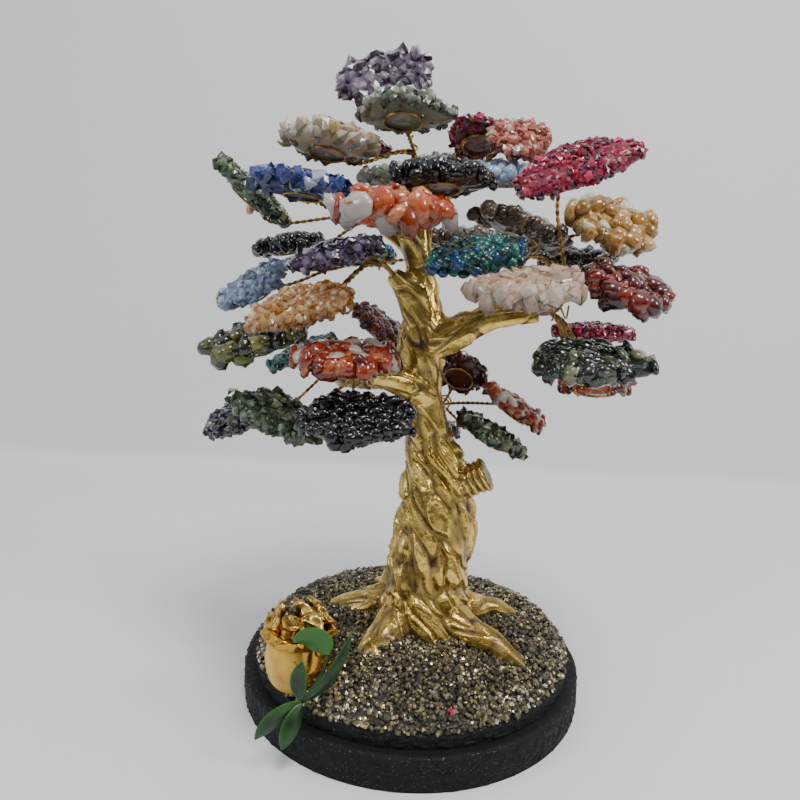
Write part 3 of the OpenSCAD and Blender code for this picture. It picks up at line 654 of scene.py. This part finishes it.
def slab_of(name):
    """Middle of a leaf's underside, its axes (long, wide, up), thickness and outline, read from its plain
    slab: the axes are the directions in which the slab's corners spread most, less and least."""
    p = np.unique((mesh_array(frame["nodes"][name].data) * 1000).round(3), axis=0)
    middle = p.mean(0)
    axes = np.linalg.svd(p - middle, full_matrices=False)[2]
    axes[2] *= np.sign(axes[2, 2])
    axes[1] = np.cross(axes[2], axes[0])
    own = (p - middle) @ axes.T
    floor, thick = own[:, 2].min(), np.ptp(own[:, 2])
    under = own[own[:, 2] < floor + 0.1 * thick].mean(0)
    own = own - [under[0], under[1], floor]
    belt = own[(own[:, 2] > 0.55 * thick) & (own[:, 2] < 0.85 * thick)]
    turn = np.arctan2(belt[:, 1], belt[:, 0])
    order = np.argsort(turn)
    return (middle + np.array([under[0], under[1], floor]) @ axes, axes, thick,
            turn[order], np.hypot(belt[:, 0], belt[:, 1])[order])


body_of = {name: body for body, names in frame["record"]["behaviour"]["bodies"].items() for name in names}
slabs = {}
for entry in sorted(frame["record"]["subparts"], key=lambda e: e["node"]):
    if not entry["node"].startswith("leaf_"):
        continue
    leaf, stone = entry["node"][5:], entry["material_slot"]
    look = LEAF_LOOKS.get(leaf, stone)
    shape, chip, stretch, tilt = STONES[look][:4]
    chip = CHIP_SIZES.get(leaf, chip)
    rng = np.random.default_rng(sum(map(ord, leaf)))
    middle, axes, thick, turns, reaches = slabs[leaf] = slab_of(entry["node"])
    lobes = rng.uniform(0, 2 * np.pi, 3)
    turns, reaches = np.append(turns, turns + 0.2), np.append(reaches, reaches)
    order = np.argsort(turns)
    turns, reaches = turns[order], reaches[order]
    reaches = reaches * (1 + 0.05 * np.sin(2 * turns + lobes[0]) + 0.05 * np.sin(3 * turns + lobes[1])
                         + 0.04 * np.sin(5 * turns + lobes[2]))
    snug = leaf in SNUG_LEAVES
    reaches = reaches * (SNUG_REACH if snug else 1)
    area = np.pi * np.mean(reaches ** 2)
    # resin slab: a low dish that follows the outline
    angle = circle(90)
    edge = np.interp(angle, turns, reaches, period=2 * np.pi)
    profile = through([[0.06, 0.25], [0.4, 0.2], [0.66, 0.5], [0.84, thick * 0.22], [0.93, thick * 0.45],
                       [0.9, thick * 0.66], [0.72, thick * 0.8], [0.4, thick * 0.86],
                       [0.06, thick * 0.88]], 4)
    rings = np.stack([profile[:, :1] * edge * np.cos(angle), profile[:, :1] * edge * np.sin(angle),
                      np.broadcast_to(profile[:, 1:], (len(profile), len(angle)))], -1)
    near, second, _, number = ridges(rings.reshape(-1, 3) / chip / 0.8, 0.1 * chip + len(leaf))
    swollen = np.clip((second - near) / 0.5, 0, 1) * (0.5 + number) - 0.6
    lump = 0.22 * chip * swollen.reshape(rings.shape[:2])
    fade = np.clip((rings[..., 2] - 1) / 2, 0.15, 1)
    rings[..., 2] += lump * fade
    rings[..., :2] *= 1 + (lump * fade / 20)[..., None]
    dish_points, dish_faces = wrapped(rings)
    # chips: on top, round the rim, and a few at the edge of the underside
    on_top = max(8, round(CHIPS_ON_TOP * area / chip ** 2))
    on_rim = max(8, round(CHIPS_ON_RIM * 2 * np.pi * reaches.mean() * thick / chip ** 2))
    below = max(5, round(CHIPS_BELOW * area / chip ** 2))
    count = on_top + on_rim + below
    order = np.arange(count)
    turn = order * GOLDEN_TURN + rng.normal(0, 0.1, count)
    top, rim = order < on_top, (order >= on_top) & (order < on_top + on_rim)
    share = np.select([top, rim], [np.sqrt((order + 0.5) / on_top) * 0.88, rng.uniform(0.86, 0.94, count)],
                      np.sqrt(rng.uniform(0.2, 0.62, count)))
    reach = share * np.interp(turn, turns, reaches, period=2 * np.pi)
    up = np.select([top, rim],
                   [thick * (0.9 - 0.26 * share ** 2) + rng.normal(-0.12 * chip, 0.1 * chip, count),
                    thick * rng.uniform(0.22, 0.68, count)], 0.2 * chip + 0.4)
    up = up - SNUG_DROP * snug * top
    spots = np.column_stack([reach * np.cos(turn), reach * np.sin(turn), up])
    flat = np.column_stack([np.cos(turn), np.sin(turn), 0 * turn])
    facing = np.select([top[:, None], rim[:, None]],
                       [flat * share[:, None] * 0.5 + [0, 0, 1], flat + [0, 0, 0.25]], [[0.0, 0.0, -1.0]])
    half = (chip / 2 * rng.uniform(0.75, 1.25, (count, 1)) * np.array(stretch)
            * rng.uniform(0.85, 1.15, (count, 3)))
    half = np.where((top | rim)[:, None], half, half * 0.8)
    chip_points, chip_faces = scattered(SHAPES[shape], spots, facing, tilt * 0.5, half, rng,
                                        0.3 if shape == "chip" else 0.12)
    points = middle + np.vstack([dish_points, chip_points]) @ axes
    piece = new_piece("stones_" + leaf, points, dish_faces + (chip_faces + len(dish_points)).tolist(),
                      [stone_finish[look], resin_finish[look]], smooth=False)
    is_dish = np.arange(len(piece.data.polygons)) < len(dish_faces)
    piece.data.polygons.foreach_set("material_index", is_dish.astype(np.int32))
    piece.data.polygons.foreach_set("use_smooth", is_dish | (shape == "pebble"))
    in_dish, in_chip = np.ones(len(dish_points)), len(SHAPES[shape][0])
    # How deep each chip sits below the top of its slab, kept as 'sunk' for the painted shade of the stone finish.
    depth = np.clip(1 - chip_points[:, 2] / thick * 1.15, 0, 1) ** 1.5
    mark(piece, tone=np.concatenate([0.4 * in_dish, np.repeat(rng.beta(1.7, 2.1, count), in_chip)]),
         odd=np.concatenate([in_dish, np.repeat(rng.uniform(0, 1, count), in_chip)]),
         sunk=np.concatenate([0.5 * in_dish, depth]))
    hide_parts(entry["node"])
    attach(piece, body_of[entry["node"]])

# ---- Wires ----
# Antique brass wire of 0.8 mm. Two strands are twisted into a stem for each leaf and end in a ring under it;
# the stems of a spray leave the end of their bough as one bundle, with a loose loop wound round it.
STRAND_R, TWIST_PITCH, RING_R, LOOP_R = 0.42, 5.5, 7.5, 3.2
STEM_POINTS, RING_POINTS, STRAND_SIDES = 64, 56, 7
ROOT_DEPTHS = np.array([[4.6], [2.4]])


def cubic(a, b, c, d, count):
    """Points along the cubic curve that starts at a toward b and ends at d from c."""
    t = np.linspace(0, 1, count)[:, None]
    a, b, c, d = np.array([a, b, c, d], float)
    return (1 - t) ** 3 * a + 3 * (1 - t) ** 2 * t * b + 3 * (1 - t) * t ** 2 * c + t ** 3 * d


for joint in frame["joints"]:
    spray = joint["name"][:-5]
    pivot = np.array(joint["pos_m"]) * 1000
    bough = np.array(BOUGHS[spray], float)[:, :3]
    heading = (bough[-1] - bough[-2]) / np.linalg.norm(bough[-1] - bough[-2])
    rng = np.random.default_rng(sum(map(ord, spray)))
    strands = []
    for name in sorted(n for n, body in body_of.items() if body == joint["child"] and n.startswith("leaf_")):
        middle, axes = slabs[name[5:]][:2]
        toward = pivot - middle
        inward = toward - axes[2] * (toward @ axes[2])
        inward /= np.linalg.norm(inward)
        end = middle + inward * RING_R
        reach = np.linalg.norm(end - pivot)
        stem = cubic(pivot, pivot + heading * reach * 0.35,
                     end + (inward * 0.7 - axes[2] * 0.5) * reach * 0.3, end, STEM_POINTS)
        near_pivot = np.clip(1 - np.linspace(0, 1, STEM_POINTS)[:, None] / 0.25, 0, 1)
        stem = stem + 1.3 * rng.normal(size=3) * near_pivot * 0.5
        stem = np.vstack([pivot - heading * ROOT_DEPTHS + 0.4 * rng.normal(size=3), stem])
        _, first, second = along(stem)
        for phase in (0, np.pi):
            turn = (2 * np.pi * run_of(stem) / TWIST_PITCH + phase)[:, None]
            strand = stem + STRAND_R * (np.cos(turn) * first + np.sin(turn) * second)
            strands.append(wrapped(tube(strand, STRAND_R, STRAND_SIDES)))
        start = np.arctan2(inward @ axes[1], inward @ axes[0])
        turn = (start + np.linspace(0, 2.35 * np.pi, RING_POINTS))[:, None]
        size = RING_R * np.linspace(1.0, 0.9, RING_POINTS)[:, None]
        drop = 0.25 + np.linspace(0, 0.5, RING_POINTS)[:, None]
        ring = middle + size * (np.cos(turn) * axes[0] + 0.92 * np.sin(turn) * axes[1]) - axes[2] * drop
        strands.append(wrapped(tube(ring, STRAND_R * 1.1, STRAND_SIDES)))
    aside = np.cross(heading, [0.2, 0.3, 1.0])
    turn = (rng.uniform(0, 6) + np.linspace(0, 2.7 * np.pi, 60))[:, None]
    round_bundle = np.cos(turn) * aside + np.sin(turn) * np.cross(heading, aside)
    loop = pivot + heading * (1 + 9 * turn / turn.max()) + LOOP_R * round_bundle
    strands.append(wrapped(tube(loop, STRAND_R, STRAND_SIDES)))
    piece = new_piece("twisted_wires_" + spray, *joined(strands), [tree_wire])
    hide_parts("wires_" + spray)
    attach(piece, joint["child"])

# ---- Odd chips ----
# Three single stones: a drop of peach quartz under the left aventurine leaf and a pink one under the right
# magenta leaf, each glued to its wire, and a pink chip that has fallen on the pyrite in front.
FALLEN_AT = np.array([16.0, -62.0, mound_height(16.0, -62.0) + 0.9])
for stone, leaf, aside, size in (("peach_quartz", "aventurine_left", 4.0, (1.9, 1.7, 2.4)),
                                 ("magenta_agate", "magenta_right", -6.0, (1.6, 1.5, 2.1)),
                                 ("magenta_agate", None, 0.0, (1.7, 1.3, 1.2))):
    middle, axes = slabs[leaf][:2] if leaf else (FALLEN_AT, np.eye(3))
    spot = middle + axes[0] * aside - axes[2] * (2.4 if leaf else 0)
    points, faces = scattered(SHAPES["pebble" if leaf else "chip"], spot[None], np.array([[0.0, 0.0, 1.0]]),
                              0.2, np.array([size]), np.random.default_rng(3), 0.1)
    piece = new_piece("odd_chip_" + (leaf or "ground"), points, faces.tolist(), [stone_finish[stone]],
                      smooth=bool(leaf))
    mark(piece, tone=np.full(len(points), 0.65), odd=np.ones(len(points)), sunk=np.zeros(len(points)))
    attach(piece, body_of["leaf_" + leaf] if leaf else "base")

# ---- Pot ----
# A thumb-sized clay pot: a smooth belly in yellow-gold glaze with a painted sheen of metallic gold on its
# +x side, and a crumpled collar of gold leaf pressed round its mouth, from which one drop hangs.
low, high = (np.array(corner) * 1000 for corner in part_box("clay_pot"))
POT_AT = (low[:2] + high[:2]) / 2
POT_FOOT, POT_H, POT_R, NECK_H, DROP_TURN = low[2], high[2] - low[2], 13.5, 3, -0.75


def belly(inset):
    """Profile of the belly, foot to neck, drawn in by a wall: a smooth curve through five points."""
    return through([[POT_R * 0.55 - inset, inset], [POT_R * 0.86 - inset, POT_H * 0.14 + inset * 0.6],
                    [POT_R - inset, POT_H * 0.42], [POT_R * 0.95 - inset, POT_H * 0.66],
                    [POT_R * 0.86 - inset, POT_H - NECK_H]], 8)


pot_glaze, tree, sockets = finish("pot_glaze", IOR=1.5)
mottle = noise(tree, 110.0, 5.0)
glaze = ramp(tree, mottle, (0.32, "#bd8828"), (0.66, "#f0c348"))
speckled = mix(tree, mapped(tree, noise(tree, 520.0, 2.0), 0.68, 0.73), glaze, paint("#6b4317"))
# Gold leaf on the collar and the drop, and a painted sheen that turns the belly metallic gold towards its +x side.
gilt_and_sheen = mapped(tree, math(tree, "ADD", stored(tree, "shiny"), mottle), 0.85, 1.15)
drive(tree, sockets, {"Base Color": mix(tree, gilt_and_sheen, speckled, paint("#c29640")), "Metallic": gilt_and_sheen,
                      "Roughness": mapped(tree, gilt_and_sheen, 0, 1, 0.42, 0.2)},
      bump=(noise(tree, 300.0, 4.0), 0.25, 0.0006))


def folded(points, length, seed):
    """Folds of crumpled leaf: the sum of six creased waves |sin| with random directions and starts."""
    own = np.random.default_rng(seed)
    ways = own.normal(size=(3, 6))
    ways *= np.pi / length * own.uniform(0.6, 1.6, 6) / np.linalg.norm(ways, axis=0)
    waves = np.abs(np.sin(points @ ways + own.uniform(0, np.pi, 6)))
    return (waves * own.uniform(0.4, 1.0, 6)).sum(-1) / 3 - 0.75


neck_z = POT_H - NECK_H
outside = np.vstack([[[1.0, 0.0]], belly(0)])
collar = np.array([[POT_R * 0.9, neck_z - 2.5], [POT_R * 1.04, neck_z - 2.0], [POT_R * 1.12, neck_z - 0.6],
                   [POT_R * 1.14, neck_z + 1.0], [POT_R * 1.12, POT_H - 1.0], [POT_R * 1.05, POT_H],
                   [POT_R * 0.95, POT_H + 0.2], [POT_R * 0.78, POT_H - 0.8], [POT_R * 0.66, neck_z]])
inner = np.column_stack([[9.0, 5.0, 1.0], np.full(3, neck_z - 1.0)])
wall = wrapped(turned_body(np.vstack([outside, inner]) + [0, POT_FOOT], 96, at=POT_AT))
fold_profile = through(collar, 5) + [0, POT_FOOT]
rings = turned_body(fold_profile, 160, at=POT_AT)
crumple = -3.0 * folded(rings, 6.5, 4)
outward = rings - [POT_AT[0], POT_AT[1], 0]
outward[..., 2] = 0
rings = rings + unit(outward) * (crumple * 0.8)[..., None]
rings[..., 2] += 0.5 * crumple
band = wrapped(rings)
ball, ball_faces = SHAPES["pebble"]
drop_at = [POT_AT[0] + POT_R * np.cos(DROP_TURN), POT_AT[1] + POT_R * np.sin(DROP_TURN),
           POT_FOOT + neck_z - 4]
drop = (ball * np.where(ball[:, 2:] > 0, [[1.2, 1.2, 3.6]], [[1.8, 1.8, 2.4]]) + drop_at, ball_faces.tolist())
points, faces = joined([wall, band, drop])
piece = new_piece("clay_pot_glazed", points, faces, [pot_glaze])
# Painted sheen on the belly, rising towards +x; the collar and the drop are gold leaf all over.
from_middle = wall[0][:, 0] - POT_AT[0]
mark(piece, shiny=np.concatenate([np.clip(0.3 + from_middle / 14, 0, 1),
                                  np.ones(len(points) - len(wall[0]))]))
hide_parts("clay_pot")
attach(piece, "base")

# ---- Nuggets ----
# Lumps of crumpled clay under bright gold paint, heaped in the mouth of the pot, with a few crumbs of
# pyrite caught between them.
rng = np.random.default_rng(5)
NUGGETS, NUGGET_R, NUGGET_RING, CAUGHT_CRUMBS = 7, 4.0, 7.6, 70


def nugget(at, size, seed):
    """A lump: a ball whose radius follows the creased waves, so that it has hollow faces and sharp folds."""
    lift = np.linspace(-np.pi / 2, np.pi / 2, 30)[1:-1][:, None]
    turn = circle(48)[None, :]
    ball = np.stack([np.cos(lift) * np.cos(turn), np.cos(lift) * np.sin(turn), np.sin(lift) + 0 * turn], -1)
    size_here = 1 - 1.0 * folded(ball, 1.5, seed)
    stretched = ball * np.random.default_rng(seed).uniform(0.8, 1.25, 3)
    return wrapped(at + size * 1.15 * stretched * size_here[..., None])


lumps = [nugget(np.array([POT_AT[0] + NUGGET_RING * np.cos(a), POT_AT[1] + NUGGET_RING * np.sin(a),
                          POT_FOOT + POT_H + 2.9]), NUGGET_R, 31 + k)
         for k, a in enumerate(np.arange(NUGGETS) * 2 * np.pi / NUGGETS)]
lumps.append(nugget(np.array([*POT_AT, POT_FOOT + POT_H + 4.4]), NUGGET_R * 1.3, 17))
points, faces = joined(lumps)
gold_nugget, tree, sockets = finish("gold_nugget", Metallic=1.0)
cloudy = noise(tree, 220.0, 5.0)
drive(tree, sockets, {"Base Color": ramp(tree, cloudy, (0.32, "#75551e"), (0.62, "#dfbb68")),
                      "Roughness": mapped(tree, cloudy, 0.3, 0.7, 0.35, 0.16)}, bump=(cloudy, 0.4, 0.0008))
piece = new_piece("gold_lumps", points, faces, [gold_nugget])
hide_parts("gold_nuggets")
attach(piece, "base")
reach, turn = rng.uniform(1.5, 8.0, CAUGHT_CRUMBS), rng.uniform(1.2, 4.4, CAUGHT_CRUMBS)
spots = np.column_stack([POT_AT[0] + reach * np.cos(turn), POT_AT[1] + reach * np.sin(turn),
                         POT_FOOT + POT_H + 6.0 + 0.1 * (8 - reach) + rng.normal(0, 0.5, CAUGHT_CRUMBS)])
points, faces = scattered(SHAPES["chip"], spots, np.tile([0.0, 0.0, 1.0], (CAUGHT_CRUMBS, 1)), 1.0,
                          rng.uniform(0.7, 1.2, (CAUGHT_CRUMBS, 3)), rng)
piece = new_piece("pot_crumbs", points, faces.tolist(), [pyrite], smooth=False)
mark(piece, tone=np.repeat(rng.beta(1.6, 2.0, CAUGHT_CRUMBS), 12))
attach(piece, "base")

# ---- Sprig ----
# A plastic sprig pushed into the crumbs beside the pot: a round leaf and a long blade above, and smaller
# blades that hang over the edge of the base. Each blade is moulded with a midrib and turned-up edges.
green_leaf, tree, sockets = finish("green_leaf", Roughness=0.35, Subsurface_Weight=0.2,
                                   Subsurface_Scale=0.002)
veins = noise(tree, 120.0, 5.0)
green = ramp(tree, veins, (0.3, "#08190c"), (0.7, "#1c5216"))
drive(tree, sockets, {"Base Color": mix(tree, stored(tree, "rim"), green, paint("#2f7414"))},
      bump=(veins, 0.2, 0.0005))


def blade(a, b, c, d, width, lightening=0.0, facing=(0.0, 1.0, 0.4)):
    """A leaf blade: along a cubic curve from a to d, a flat closed section whose width swells and closes as a
    sine, with a groove along its middle and its edges raised. A blade with a lightening share is that much
    lighter green all over."""
    path = cubic(a, b, c, d, 22)
    t = np.linspace(0, 1, 22)[:, None]
    tangent = unit(np.gradient(path, axis=0))
    side = unit(np.cross(tangent, facing))
    up = np.cross(side, tangent)
    half = np.maximum(0.4, width / 2 * np.sin(np.pi * np.clip(t, 0.02, 0.985)) ** 0.7)[:, :, None]
    angle = circle(24)[None, :, None]
    out_by = np.cos(angle)
    cup = 0.16 * half * (out_by ** 2 - 0.3) - 0.3 * np.exp(-(out_by / 0.16) ** 2) * (half > 1)
    rings = path[:, None] + side[:, None] * half * out_by + up[:, None] * (0.38 * np.sin(angle) + cup)
    points, faces = wrapped(rings)
    edge_green = np.broadcast_to(np.abs(out_by[..., 0]) ** 9 * 0.7, rings.shape[:2]).ravel()
    rim = np.concatenate([edge_green, [0.5, 0.9]])
    return points, faces, np.maximum(rim, lightening)


def stalk(a, b, c, d, radius):
    """A round stalk along a cubic curve."""
    points, faces = wrapped(tube(cubic(a, b, c, d, 16), radius, 10))
    return points, faces, np.zeros(len(points))


FORK = (-40, -61, 25.5)
# The round leaf above is made lighter green all over, by a share of 0.6.
parts = [stalk((-30, -54, 22), (-32, -56, 30), (-36, -60, 28), FORK, 0.8),
         stalk(FORK, (-36, -62, 32), (-31, -60, 38), (-31, -59, 45), 0.65),
         blade(FORK, (-34, -62, 30), (-26, -60, 38), (-22.5, -57, 52), 5),
         blade(FORK, (-42, -62, 30), (-42, -62, 37), (-40, -61, 42), 6.5),
         blade((-31, -59, 44), (-33, -59, 49), (-37, -59, 52), (-44, -59, 49), 13, lightening=0.6),
         blade(FORK, (-45, -65, 25), (-52, -68, 20), (-56, -69, 14.5), 8),
         blade(FORK, (-42, -66, 22), (-44, -69, 17), (-46, -70, 11.5), 7)]
points, faces = joined([part[:2] for part in parts])
piece = new_piece("green_sprig", points, faces, [green_leaf])
mark(piece, rim=np.concatenate([part[2] for part in parts]))
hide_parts("sprig")
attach(piece, "base")

# ---- Floor and light ----
# A pale table that curves up into the wall behind, which shows only from its front so that it never hides
# the object, one broad soft light above and in front, a weaker one from each side, and a pale surround.
run = through([[-0.9, 0], [0.1, 0], [0.24, 0], [0.3, 0.008], [0.33, 0.05], [0.345, 0.5], [0.36, 1.3]], 16)
breadth = np.linspace(-1.6, 1.6, 9)
sheet = np.stack(np.broadcast_arrays(breadth[None, :], run[:, :1], run[:, 1:]), -1) * 1000
rows, columns = sheet.shape[:2]
index = np.arange(rows * columns).reshape(rows, columns)
quads = np.stack([index[:-1, :-1], index[:-1, 1:], index[1:, 1:], index[1:, :-1]], -1).reshape(-1, 4)
pale_wall, tree, sockets = finish("pale_wall", Roughness=0.75)
drive(tree, sockets, {"Base Color": ramp(tree, noise(tree, 2.0, 2.0), (0, "#dcdddf"), (1, "#e4e5e7"))})
shown = tree.nodes["Principled BSDF"].outputs[0]
one_sided = node(tree, "MixShader", {0: node(tree, "NewGeometry").outputs["Backfacing"], 1: shown,
                                     2: node(tree, "BsdfTransparent").outputs[0]})
tree.links.new(one_sided.outputs[0], tree.nodes["Material Output"].inputs["Surface"])
new_piece("table", sheet.reshape(-1, 3), quads.tolist(), [pale_wall])


def soft_light(name, at, target, size, power, tint):
    """A square area light that looks at a target."""
    made = added(name, bpy.data.lights.new(name, "AREA"))
    made.data.size, made.data.energy, made.data.color = size, power, tint
    aim = np.array(at) - np.array(target)
    aim = aim / np.linalg.norm(aim)
    side = np.cross([0, 0, 1], aim)
    side = side / np.linalg.norm(side)
    made.matrix_world = standing(side, np.cross(aim, side), aim, at)


soft_light("above", (0.15, -0.35, 1.0), (0, 0, 0.12), 0.3, 6.0, (1.0, 0.98, 0.95))
soft_light("left", (-0.8, -0.5, 0.5), (0, 0, 0.12), 0.3, 2.0, (0.95, 0.98, 1.0))
soft_light("right", (0.8, -0.3, 0.6), (0, 0, 0.12), 0.25, 3.0, (1.0, 0.97, 0.92))
world = bpy.data.worlds.new("surround")
world.use_nodes = True
tree = world.node_tree
direction = node(tree, "SeparateXYZ", {0: node(tree, "TexCoord").outputs["Generated"]}).outputs
toward_room = node(tree, "Math", {0: direction["Y"], 1: 0.55, 2: direction["Z"]}, operation="MULTIPLY_ADD")
room = node(tree, "ValToRGB", {0: mapped(tree, toward_room.outputs[0], -0.35, 0.55)})
room.color_ramp.elements[0].color = (0.10, 0.09, 0.08, 1.0)
room.color_ramp.elements[1].color = (0.9, 0.92, 0.96, 1.0)
background = tree.nodes["Background"].inputs
drive(tree, background, {"Color": room.outputs[0]})
background["Strength"].default_value = 1.05
bpy.context.scene.world = world
